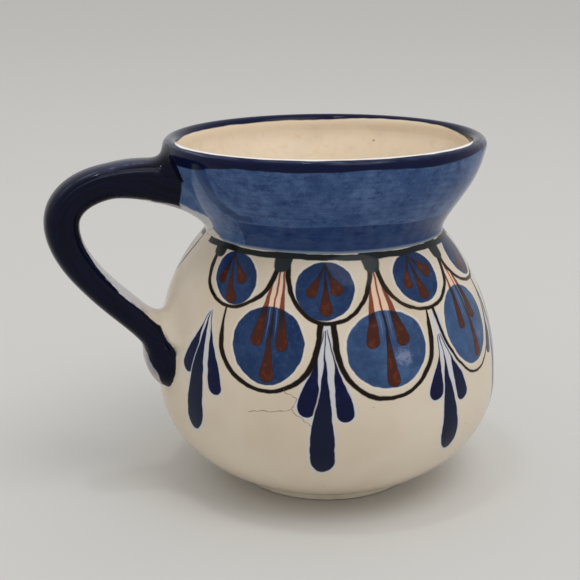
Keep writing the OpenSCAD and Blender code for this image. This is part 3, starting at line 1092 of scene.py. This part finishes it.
def painted_belly():
    """Cream glaze with the painted border on the outside, plain inside."""
    p = Paint("painted_belly_glaze")
    run = p.attribute("run") * -1.0
    radius = p.vector("LENGTH", p.pair(p.x, p.y))
    angle = p.math("ARCTAN2", p.y, p.x)
    trembling = p.wobble(2.2, 4.0)
    fine = p.vector("SCALE", trembling, scale=0.45)
    shake = p.vector("MULTIPLY_ADD", p.wobble(9.0), (1.5, 1.5, 0.0), fine)
    cells = (angle - FIRST_CELL) / CELL_ANGLE

    def local(centre):
        """Sideways place and run within a cell, as the unsteady hand drew them."""
        aside = (cells - centre) * radius * CELL_ANGLE + ASIDE
        return p.flat(p.vector("ADD", p.pair(aside, run), shake))

    def disc(at, row, height):
        """Distance from the edge of a medallion, whose half width is the row's third number."""
        offset = p.vector("SUBTRACT", at, p.flat(row))
        size = p.vector("DIVIDE", offset, p.pair(p.part(row, 2), height, 1.0))
        return (p.vector("LENGTH", size) - 1.0) * height

    def scallop(at, row, middle, longer=0.0):
        """Distance from a scallop, negative within, and how much heavier its line is at the sides.

        It is an arc below its middle run, with straight sides above.
        """
        wide = p.part(row, 1)
        deep = p.part(row, 2) + longer
        aside = (p.part(at, 0) - p.part(row, 0)) / wide
        down = p.most(p.part(at, 1) - middle, 0.0) / deep
        size = p.vector("LENGTH", p.pair(aside, down))
        scale = wide + p.least(down, 1.0) * (deep - wide)
        return (size - 1.0) * scale, p.least(abs(aside), 1.0) ** 3.0 * HEAVY_SIDES

    # Bare glaze
    cloud = p.noise(26.0, 3.0)
    colour = p.over(p.ramp(cloud, 0.35, 0.75), CREAM, CREAM_DARK)
    specks = p.node("ShaderNodeTexVoronoi", p.spot, None, SPECK_SCALE)
    rare = p.ramp(p.part(Value(p, specks.socket.node.outputs["Color"]), 0), 0.8, 1.0)
    colour = p.lay(colour, SPECK, specks - rare * 0.09 + 0.01, 0.05, 0.55)

    # Pendants: their shapes and the white between the drops
    small = p.limited(p.math("ROUND", cells), 0.0, SMALL_COUNT - 1.0)
    at = local(small)
    top = p.pick(small, PENDANT_TOPS)
    rise = p.part(top, 2)
    top = p.flat(top)
    early = p.math("LESS_THAN", small, 0.5) * -0.15
    left_bulb = p.pick(small, PENDANT_LEFT)
    right_bulb = p.pick(small, PENDANT_RIGHT)
    swell = (early + 0.3, 0.95)
    left, _ = p.drop(at, p.vector("SUBTRACT", top, (0.4, 0.0, 0.0)), left_bulb, PENDANT_STEM, swell)
    right, _ = p.drop(at, p.vector("ADD", top, (0.4, -0.3, 0.0)), right_bulb, PENDANT_STEM, swell)
    swell = (early + 0.12, 0.96)
    centre, way = p.drop(at, top, p.pick(small, PENDANT_MIDDLE), PENDANT_STEM, swell, 0.42)
    sides = p.least(left, right)
    between = p.vector("MULTIPLY", p.vector("ADD", left_bulb, right_bulb), (0.5, 0.475, 0.46))
    white, _ = p.drop(at, p.vector("SUBTRACT", top, p.pair(0.0, rise)), between, rise * 0.2 + 0.4, 1.0)
    colour = p.lay(colour, PENDANT_HALO, white, HALO_EDGE, 0.9)
    halo = p.ramp(p.noise(5.0, 2.0, shift=9.0), 0.1, 0.6)
    colour = p.lay(colour, PENDANT_HALO, p.least(sides, centre) - 0.5, 0.6, halo)
    grain = p.noise(2.0, 2.0, 0.6, shift=19.0)
    side_colour = p.over(p.ramp(grain, 0.5, 0.8) * 0.45, PENDANT, PENDANT_LIGHT)
    centre_colour = p.over(p.ramp(way, 0.3, 0.75) * 0.85, side_colour, PENDANT_DARK)

    # Small medallions
    blot = p.noise(3.4, 3.0, 0.6, shift=2.0)
    wash = p.noise(9.0, 2.0, 0.5, shift=6.0)
    grain = p.noise(0.8, 2.0, 0.6, shift=14.0)
    washed = p.ramp(blot * 0.6 + wash * 0.5, 0.45, 0.75)
    disc_base = p.over(p.ramp(wash, 0.55, 0.3) * 0.7, DISC_BLUE, DISC_DARK)
    disc_base = p.over(p.ramp(grain, 0.45, 0.75) * 0.24, disc_base, DISC_LIGHT)
    disc_colour = p.over(washed * 0.2, disc_base, DISC_LIGHT)
    disc_colour = p.over(p.ramp(run, 9.5, 3.5) * 0.55, disc_colour, DISC_DARK)
    beyond, heavy = scallop(at, p.pick(small, SMALL_SCALLOPS), SMALL_SCALLOP_RUN)
    line = abs(beyond) - heavy - SMALL_LINE
    top = p.pick(small, SMALL_TOPS)
    at = p.vector("SUBTRACT", at, p.pair(p.part(top, 2) * (run - 9.0), 0.0))
    top = p.flat(top)
    row = p.pick(small, SMALL_DISCS)
    face = disc(at, row, p.part(row, 2) + 0.3)
    colour = p.lay(colour, HALO, face - 0.6, HALO_EDGE, 0.55)
    colour = p.lay(colour, disc_colour, face, EDGE)
    rust_grain = p.noise(2.4, 2.0, shift=12.0) * 0.25
    rust = p.over(p.ramp(p.noise(1.8, 3.0, 0.6, shift=23.0), 0.48, 0.68) * 0.55, RUST, RUST_LIGHT)
    for bulbs, swell in ((SMALL_LEFT, 1.9), (SMALL_RIGHT, 1.9), (SMALL_MIDDLE, 2.3)):
        gap, way = p.drop(at, top, p.pick(small, bulbs), SMALL_STEM, swell)
        tone = p.over(p.ramp(way + rust_grain, 0.5, 0.85), RUST_DARK, rust)
        tone = p.over(p.ramp(gap, -0.55, 0.0) * 0.6, tone, RUST_DARK)
        colour = p.lay(colour, tone, gap, DROP_EDGE)

    # Big medallions, the third one pointed, with three lines that fan down to them from a bead
    big = p.limited(p.math("FLOOR", cells), 0.0, BIG_COUNT - 1.0)
    at = local(big + 0.5)
    third = p.math("COMPARE", big, 2.0, 0.1)
    pointed = third * 5.0
    outer, heavy = scallop(at, p.pick(big, BIG_SCALLOPS), BIG_SCALLOP_RUN - pointed, pointed)
    outer = p.most(abs(outer) - (heavy + BIG_LINE) * (1.0 - third * 0.36), -beyond)
    face = disc(at, p.pick(big, BIG_DISCS), third * 0.8 + 10.1)
    tone = p.pick(big, BIG_TONES)
    paler = p.part(tone, 0) + washed * p.part(tone, 1)
    colour = p.lay(colour, HALO, face - 0.55, HALO_EDGE, 0.6)
    colour = p.lay(colour, p.over(paler, disc_base, DISC_LIGHT), face, EDGE)
    thin = p.noise(1.5, 3.0, 0.7, shift=17.0)
    bloom = p.vector("DISTANCE", at, BLOOM_PLACE) - 1.0 + (blot - 0.5) * 5.0 + (thin - 0.5) * 9.0
    colour = p.over(p.ramp(bloom, 2.2, -1.0) * p.part(tone, 2), colour, STREAK)
    drops = [
        p.drop(at, (ASIDE + aside, FAN_TOP, 0.0), p.pick(big, bulbs), stem, swell)
        for aside, bulbs, stem, swell in (
            (-1.0, BIG_LEFT, 0.22, 1.9), (0.9, BIG_RIGHT, 0.22, 1.9), (0.0, BIG_MIDDLE, 0.25, 4.0),
        )
    ]
    left, right, middle = (gap for gap, way in drops)
    fan = p.segment(at, (ASIDE, FAN_TOP), (ASIDE + 0.4, 15.5)) - 0.21 * p.least(run, FAN_FOOT) + 1.0
    fan = p.most(fan, run - FAN_FOOT)
    colour = p.lay(colour, PEACH, p.most(fan, -face), EDGE, 0.85)
    streak = p.least(abs(left - middle), abs(right - middle)) - 0.25
    colour = p.lay(colour, STREAK, p.most(streak, face), 0.6, p.ramp(run, 25.0, 19.0) * 0.5)
    for gap, way in drops:
        tone = p.over(p.ramp(way + rust_grain, 0.72, 0.95), RUST_DARK, rust)
        tone = p.lay(tone, RUST_LINE, -face, 0.6)
        tone = p.over(p.ramp(gap, -0.5, 0.0) * p.ramp(way, 0.5, 0.9) * 0.7, tone, RUST_DARK)
        colour = p.lay(colour, tone, gap, DROP_EDGE)

    # Drops of the pendants, parted by white
    colour = p.lay(colour, side_colour, sides, DROP_EDGE)
    colour = p.lay(colour, PENDANT_HALO, centre - 0.3, EDGE, p.inked(sides - 0.4, 0.4) * 0.85)
    colour = p.lay(colour, centre_colour, centre, DROP_EDGE)

    # Scallop lines, then the neck line with its beads, the first of them shorter and askew
    shaky = p.noise(14.0, 2.0, shift=3.0)
    line_colour = p.over(p.ramp(shaky, 0.5, 0.75) * 0.6, OUTLINE, OUTLINE_THIN)
    past_end = abs(cells - (SMALL_COUNT - 1) / 2) - SMALL_COUNT / 2
    colour = p.lay(colour, line_colour, p.most(outer, (past_end + 0.5) * CELL_LENGTH), EDGE)
    colour = p.lay(colour, line_colour, p.most(line, past_end * CELL_LENGTH), EDGE)
    bead = p.limited(p.math("FLOOR", cells), -1.0, BIG_COUNT - 1.0)
    first = p.math("LESS_THAN", bead, -0.5)
    at = local(bead + 0.5)
    low = p.part(at, 1)
    aside = abs(p.part(at, 0) - ASIDE - first * (low * 0.4 + 1.2))
    flank = p.most(aside + low * 0.15 - 1.15, 0.0)
    beads = p.vector("LENGTH", p.pair(flank, p.most(low + first * 1.3 - 4.3, 0.0))) - 1.5
    colour = p.lay(colour, SLATE, p.most(beads, (past_end - 0.06) * CELL_LENGTH), 0.4)
    ends = p.most(cells - SMALL_COUNT + 0.5, -0.78 - cells) * CELL_LENGTH
    colour = p.lay(colour, CHARCOAL, p.most(abs(low - 1.0) - NECK_LINE, ends), EDGE)

    # The crack, then the plain inside
    wiggle = p.flat(p.vector("SCALE", trembling, scale=2.2))
    place = p.vector("ADD", p.pair((angle - CRACK_ANGLE) * radius, p.z), wiggle)
    crack = p.least(*(p.segment(place, start, end) for start, end in CRACK_LINES))
    colour = p.lay(colour, CRACK, crack - 0.1, 0.16, 0.7)
    plain = p.over(p.ramp(cloud, 0.3, 0.7), INSIDE, CREAM)
    colour = p.over(p.ramp(run, -40.0, -41.0), colour, plain)
    roughness = p.noise(12.0, 2.0, shift=8.0) * 0.08 + 0.07
    return p.glaze(colour, roughness, p.noise(7.0, 2.0, shift=1.0), BELLY_RELIEF, GLAZE_SHINE)


# Radius at which distances round the collar are taken
AROUND_RADIUS = 42.0
# A dark brush stroke beside the handle's root: angle and run of its points, and half its width up to each
STROKE = [
    (-155.8, 24.6, 0), (-154.6, 20.1, 2.1), (-154.0, 16.0, 2.0), (-151.4, 12.6, 1.7), (-146.6, 10.4, 1.4),
    (-140.0, 9.3, 0.9),
]
# A speck in the glaze inside the collar
SPECK_PLACE = (25.62, 29.28, 91.73)
SPECK_RADIUS = 0.55


def painted_collar():
    """Brushed blue collar, near-black lip and plain inside, shared by the collar and the lip."""
    p = Paint("painted_collar_glaze")
    run = p.attribute("run")
    gap = p.attribute("strap_gap")
    angle = p.math("ARCTAN2", p.y, p.x)
    around = angle * AROUND_RADIUS

    def between(start, end):
        """From 0 at one angle to 1 at another, in degrees."""
        return p.ramp(angle, math.radians(start), math.radians(end))

    streaks = p.noise(1.0, 4.0, 0.6, place=p.pair(around * 0.16, run * 0.9))
    blotch = p.noise(11.0, 3.0, 0.55, shift=2.0)
    fine = p.noise(1.1, 3.0, 0.6, shift=5.0)
    patches = p.noise(3.0, 3.0, 0.65, shift=15.0)
    dust = p.noise(0.55, 2.0, 0.6, shift=21.0)
    light = p.ramp(streaks * 0.35 + blotch * 0.4 + patches * 0.4, 0.5, 0.8)
    colour = p.over(light * 0.75, COLLAR_BLUE, COLLAR_LIGHT)
    colour = p.over(p.ramp(streaks * 0.4 + patches * 0.6, 0.5, 0.34) * 0.6, colour, COLLAR_DARK)
    colour = p.over(p.ramp(fine, 0.52, 0.78) * 0.35, colour, COLLAR_LIGHT)
    colour = p.over(p.ramp(dust, 0.5, 0.75) * 0.22, colour, COLLAR_LIGHT)

    # A darker band on the lower part, a painted reflection of the belly, with a sharp wavy upper edge
    swing = p.noise(18.0, 2.0, shift=11.0)
    belly_reflection_band = p.most(run - 6.4 - swing * 4.2, (-angle - math.radians(148)) * 30.0)
    colour = p.lay(colour, COLLAR_DARK, belly_reflection_band, 0.5, 0.62)
    colour = p.lay(colour, COLLAR_LIGHT, abs(belly_reflection_band) - 0.12, EDGE, 0.3)

    # The stroke beside the root of the handle
    spot = p.vector("MULTIPLY_ADD", p.wobble(5.0, 7.0), (1.6, 1.6, 0.0), p.pair(around, run))
    points = [(math.radians(turn) * AROUND_RADIUS, height) for turn, height, half in STROKE]
    halves = [half for turn, height, half in STROKE[1:]]
    stroke = p.least(*(p.segment(spot, a, b) - half for a, b, half in zip(points, points[1:], halves)))
    colour = p.over(between(-148, -168) * 0.25, colour, COLLAR_LIGHT)
    colour = p.lay(colour, STROKE_DARK, stroke, 0.9, 0.62)
    colour = p.lay(colour, STROKE_DARK, abs(stroke) - 0.15, 0.5, 0.4)

    # Thinly painted edge above the neck crease, bare near the handle, then the washed patch under the root
    # and the cobalt spilt beside it
    wavy = p.noise(8.0, 2.0, shift=3.0)
    near_handle = p.ramp(abs(angle), math.radians(156), math.radians(184))
    colour = p.lay(colour, PALE_BLUE, run - 0.2 - wavy * 0.5, 0.5, 0.8)
    colour = p.lay(colour, CREAM, run + 1.0 - wavy * 0.5 - near_handle * 5.0, 0.5, 0.9)
    colour = p.lay(colour, WASH, p.most(gap - 2.0 - wavy, run - 15.0), 1.2, 0.35)
    colour = p.lay(colour, HANDLE_COBALT, p.most(gap - 0.3 - wavy * 0.5, 14.0 - run), 0.4)

    # Near-black lip: its wavy lower edge, its inner edge, which lies lower on the far side, and painted sheen
    # and a painted highlight along its crest
    past_top = run - float(section_run[top_row])
    slow = p.noise(24.0, 2.0, shift=6.0)
    lower = past_top + 5.0 - slow * 2.0 + p.noise(4.0, 1.0, shift=1.0) * 0.5
    lower = lower + between(-136, -162) * 2.1 - between(-75, -35) * 1.3
    near = p.math("COSINE", angle - CAMERA_SIDE)
    front = p.ramp(near, 0.02, 0.52)
    right = p.most(p.math("SINE", angle - CAMERA_SIDE), 0.0)
    far_right = p.most(right * -near, 0.0)
    rim = past_top - (2.4 + right * 1.1 - front * (right * 1.1 + 3.6) - far_right * 3.2) - wavy * 0.8
    colour = p.lay(colour, INSIDE, -past_top - 0.8, 0.4)
    lip_colour = p.over(p.ramp(streaks, 0.4, 0.8) * 0.5, LIP_COBALT, HANDLE_BLACK)
    # Painted sheen: a lighter band along the lip's crest
    painted_sheen = abs(past_top + 0.9) - 0.5 - wavy
    lip_colour = p.lay(lip_colour, LIP_PAINTED_SHEEN, painted_sheen, 0.9, p.ramp(streaks, 0.35, 0.65) * 0.6)
    # Painted highlight: a thin pale blue line along the lip, broken by noise
    painted_highlight = abs(past_top + 1.5 + (slow - 0.5) * 3.0) - 0.12
    lip_colour = p.lay(lip_colour, PALE_BLUE, painted_highlight, 0.4, p.ramp(blotch, 0.45, 0.65) * 0.4)
    colour = p.lay(colour, lip_colour, p.most(-lower, rim), 0.35)
    # Painted highlight: a white line along the lip's inner edge, on the camera's side only
    colour = p.lay(colour, PAINTED_RIM_HIGHLIGHT, abs(rim - 0.8) - 0.8, EDGE, p.ramp(front, 0.3, 0.95))

    # Warm clouds and one speck inside
    within = p.inked(4.2 - past_top, EDGE)
    cloud = p.ramp(p.noise(16.0, 3.0, shift=9.0), 0.45, 0.75)
    mottle = p.ramp(p.noise(2.6, 3.0, 0.6, shift=13.0), 0.5, 0.72)
    colour = p.over(within * cloud * 0.5, colour, CREAM_DARK)
    colour = p.over(within * mottle * 0.4, colour, PEACH_CLAY)
    colour = p.lay(colour, SPECK, p.vector("DISTANCE", p.spot, SPECK_PLACE) - SPECK_RADIUS, EDGE, 0.8)
    relief = p.noise(6.0, 2.0, shift=1.0) + streaks * 0.12
    return p.glaze(colour, p.noise(9.0, 2.0, shift=8.0) * 0.08 + 0.06, relief, RELIEF, DARK_SHINE)


# Shares of the strap's length where its root ends, its upper stretch with painted sheen ends and its tail
# begins
ROOT_SHARE = 0.08
UPPER_SHARE = 0.33
TAIL_SHARE = 0.78


def painted_handle():
    """Near-black cobalt brushed along the strap, bare where the brush missed; shared with the luting."""
    p = Paint("painted_handle_glaze")
    along = p.attribute("along")
    around = p.attribute("round")
    root, waist, tail = np.interp([ROOT_SHARE, UPPER_SHARE, TAIL_SHARE], strap_share, strap_along).tolist()
    ragged = p.noise(3.0, 2.0, shift=2.0)
    streaks = p.noise(1.0, 3.0, 0.6, place=p.pair(along * 0.06, around * 0.75))
    free = p.ramp(along, tail - 2.0, tail - 14.0) * p.ramp(along, root + 8.0, root + 20.0)
    painted = p.attribute("painted") + (ragged - 0.5) * 1.1 + (streaks - 0.5) * free * 2.4
    cobalt = p.over(p.ramp(streaks, 0.35, 0.7), HANDLE_BLACK, HANDLE_COBALT)
    cobalt = p.over(p.ramp(streaks, 0.66, 0.8) * 0.3, cobalt, COLLAR_DARK)

    # Painted sheen, pale on the outer face of the upper stretch, and a painted highlight line along the ridge
    upper = p.ramp(along, waist, waist - 22.0) * p.ramp(along, root - 2.0, root + 4.0)
    outer = p.ramp(around, -5.6, -3.6) * p.ramp(around, 9.0, 5.0)
    cobalt = p.over(upper * outer * (p.ramp(streaks, 0.3, 0.7) * 0.3 + 0.3), cobalt, HANDLE_PAINTED_SHEEN)
    # Painted highlight: a thin pale blue line along the ridge of the upper stretch
    ridge_highlight = abs(around + 3.9 + (ragged - 0.5) * 1.2) - 0.15
    cobalt = p.lay(cobalt, PALE_BLUE, ridge_highlight, 0.5, upper * p.ramp(ragged, 0.4, 0.6) * 0.4)

    # Bare clay: smeared beside the cobalt, paler between the ends, washed at the ends, blue on the collar
    bare = p.over(p.ramp(p.noise(7.0, 3.0), 0.4, 0.8), CREAM, CREAM_DARK)
    smear = p.ramp(painted, -1.6, 0.0) * p.ramp(ragged, 0.45, 0.7)
    bare = p.over(smear * 0.5, bare, COLLAR_BLUE)
    bare = p.over(free * 0.75, bare, PALE_CLAY)
    washed = p.most(p.ramp(along, tail, tail + 2.0), p.ramp(along, root, root - 2.0)) * p.attribute("wash")
    bare = p.over(washed * p.ramp(p.noise(4.0, 2.0, shift=6.0), 0.2, 0.6) * 0.7, bare, WASH)
    blue = p.attribute("blue") + (ragged - 0.5) * 2.0
    bare = p.over(p.ramp(blue, -5.0, -2.5) * 0.8, bare, PALE_CLAY)
    collar_tone = p.over(p.ramp(ragged, 0.3, 0.65) * 0.4 + 0.2, COLLAR_BLUE, COLLAR_LIGHT)
    bare = p.lay(bare, collar_tone, -blue, 0.8)
    colour = p.lay(bare, cobalt, -painted, EDGE)
    relief = p.noise(5.0, 2.0, shift=1.0) + streaks * 0.25
    return p.glaze(colour, p.noise(9.0, 2.0, shift=8.0) * 0.09 + 0.06, relief, RELIEF, DARK_SHINE)


def foot_clay():
    """Thin glaze on the foot, with painted shade in the crease, and the worn land darkened further as a
    painted contact shadow.
    """
    p = Paint("foot_glaze_with_painted_shade")
    grain = p.noise(1.6, 4.0, 0.6)
    colour = p.over(p.ramp(p.noise(6.0, 3.0), 0.35, 0.75), FOOT, CREAM_DARK)
    # Painted shade in the crease under the belly
    colour = p.over(p.ramp(p.z + grain * 0.6, 2.2, 2.8) * 0.65, colour, WEAR_AND_PAINTED_SHADE)
    # The land darkened as wear and as a painted contact shadow
    colour = p.over(p.ramp(p.z + grain * 0.5, 0.75, 0.3) * 0.75, colour, WEAR_AND_PAINTED_SHADE)
    return p.glaze(colour, grain * 0.3 + 0.3, grain, RELIEF, GLAZE_SHINE)


belly = make_belly()
collar = make_collar()
lip = make_lip()
foot = make_foot()
handle = make_handle()
root_luting = make_root_luting()
tail_luting = make_tail_luting()

collar_material = painted_collar()
handle_material = painted_handle()
for piece, material in (
    (belly, painted_belly()),
    (collar, collar_material),
    (lip, collar_material),
    (foot, foot_clay()),
    (handle, handle_material),
    (root_luting, handle_material),
    (tail_luting, handle_material),
):
    piece.data.materials.append(material)

FLOOR_COLOUR = linear(217, 216, 213)
FLOOR_HALF = 9.0
FLOOR_ROUGHNESS = 0.75


def make_floor():
    mesh = bpy.data.meshes.new("floor")
    spots = [(-1, -1), (1, -1), (1, 1), (-1, 1)]
    mesh.from_pydata([(x * FLOOR_HALF, y * FLOOR_HALF, 0) for x, y in spots], [], [(0, 1, 2, 3)])
    floor = add_object("floor", mesh)
    material = bpy.data.materials.new("pale_floor")
    material.use_nodes = True
    inputs = material.node_tree.nodes["Principled BSDF"].inputs
    inputs["Base Color"].default_value = FLOOR_COLOUR
    inputs["Roughness"].default_value = FLOOR_ROUGHNESS
    inputs["Specular IOR Level"].default_value = 0.0
    mesh.materials.append(material)


# Soft light: a pale horizon, brighter above, a little more from the right, less from high behind the camera
SKY_COLOUR = (1.0, 0.995, 0.985, 1.0)
SKY_LOW = 0.66
SKY_HIGH = 0.74
SIDE_SHARE = 0.09
DARK_LIFT = math.radians(45)
DARK_SHARE = 0.15


def make_light():
    world = bpy.data.worlds.new("studio")
    bpy.context.scene.world = world
    world.use_nodes = True
    sky = Nodes(world.node_tree)
    place = sky.node("ShaderNodeTexCoord", out="Generated")
    ahead, across = math.cos(CAMERA_SIDE), math.sin(CAMERA_SIDE)

    def facing(*direction):
        return sky.vector("DOT_PRODUCT", place, direction)

    level = sky.ramp(facing(0, 0, 1), 0.3, 0.75, SKY_LOW, SKY_HIGH)
    level = level * (facing(-across, ahead, 0) * SIDE_SHARE + 1.0)
    flat = math.cos(DARK_LIFT)
    behind = facing(flat * ahead, flat * across, math.sin(DARK_LIFT))
    level = level * sky.ramp(behind, 0.62, 0.92, 1.0, 1.0 - DARK_SHARE)
    sky.finish("ShaderNodeOutputWorld", sky.node("ShaderNodeBackground", SKY_COLOUR, level))


# Lamps above: a broad soft one, and a small one for the thin lights along the ridges of lip and handle.
# For each its name, place, diameter and power
LAMPS = [
    ("soft_lamp", (0.25, -0.6, 1.4), 0.9, 4.9),
    ("ceiling_lamp", (-0.25, -0.1, 1.6), 0.13, 1.4),
]


def make_lamp(name, place, size, power):
    data = bpy.data.lights.new(name, "AREA")
    data.shape = "DISK"
    data.size = size
    data.energy = power
    lamp = add_object(name, data)
    lamp.location = place
    lamp.rotation_euler = Vector(place).to_track_quat("Z", "Y").to_euler()


# Camera at the photograph's place: distance from the axis, height, and where it looks
CAMERA_DISTANCE = 343.8
CAMERA_HEIGHT = 152.65
CAMERA_TURN = 0.0295
CAMERA_PITCH = 0.27905
CAMERA_LENS = 76.9


def make_camera():
    data = bpy.data.cameras.new("camera")
    data.sensor_width = 36.0
    data.lens = CAMERA_LENS
    data.clip_end = 100
    camera = add_object("camera", data)
    heading = CAMERA_SIDE + math.pi + CAMERA_TURN
    level = Vector((math.cos(heading), math.sin(heading), 0))
    forward = level * math.cos(CAMERA_PITCH) - Vector((0, 0, math.sin(CAMERA_PITCH)))
    right = level.cross(Vector((0, 0, 1)))
    matrix = Matrix((right, right.cross(forward), -forward)).transposed().to_4x4()
    place = Vector((math.cos(CAMERA_SIDE), math.sin(CAMERA_SIDE), 0)) * CAMERA_DISTANCE
    matrix.translation = (place + Vector((0, 0, CAMERA_HEIGHT))) * MM
    camera.matrix_world = matrix
    bpy.context.scene.camera = camera


make_floor()
make_light()
for lamp in LAMPS:
    make_lamp(*lamp)
make_camera()
bpy.context.scene.view_settings.view_transform = "Standard"

bpy.context.view_layer.update()
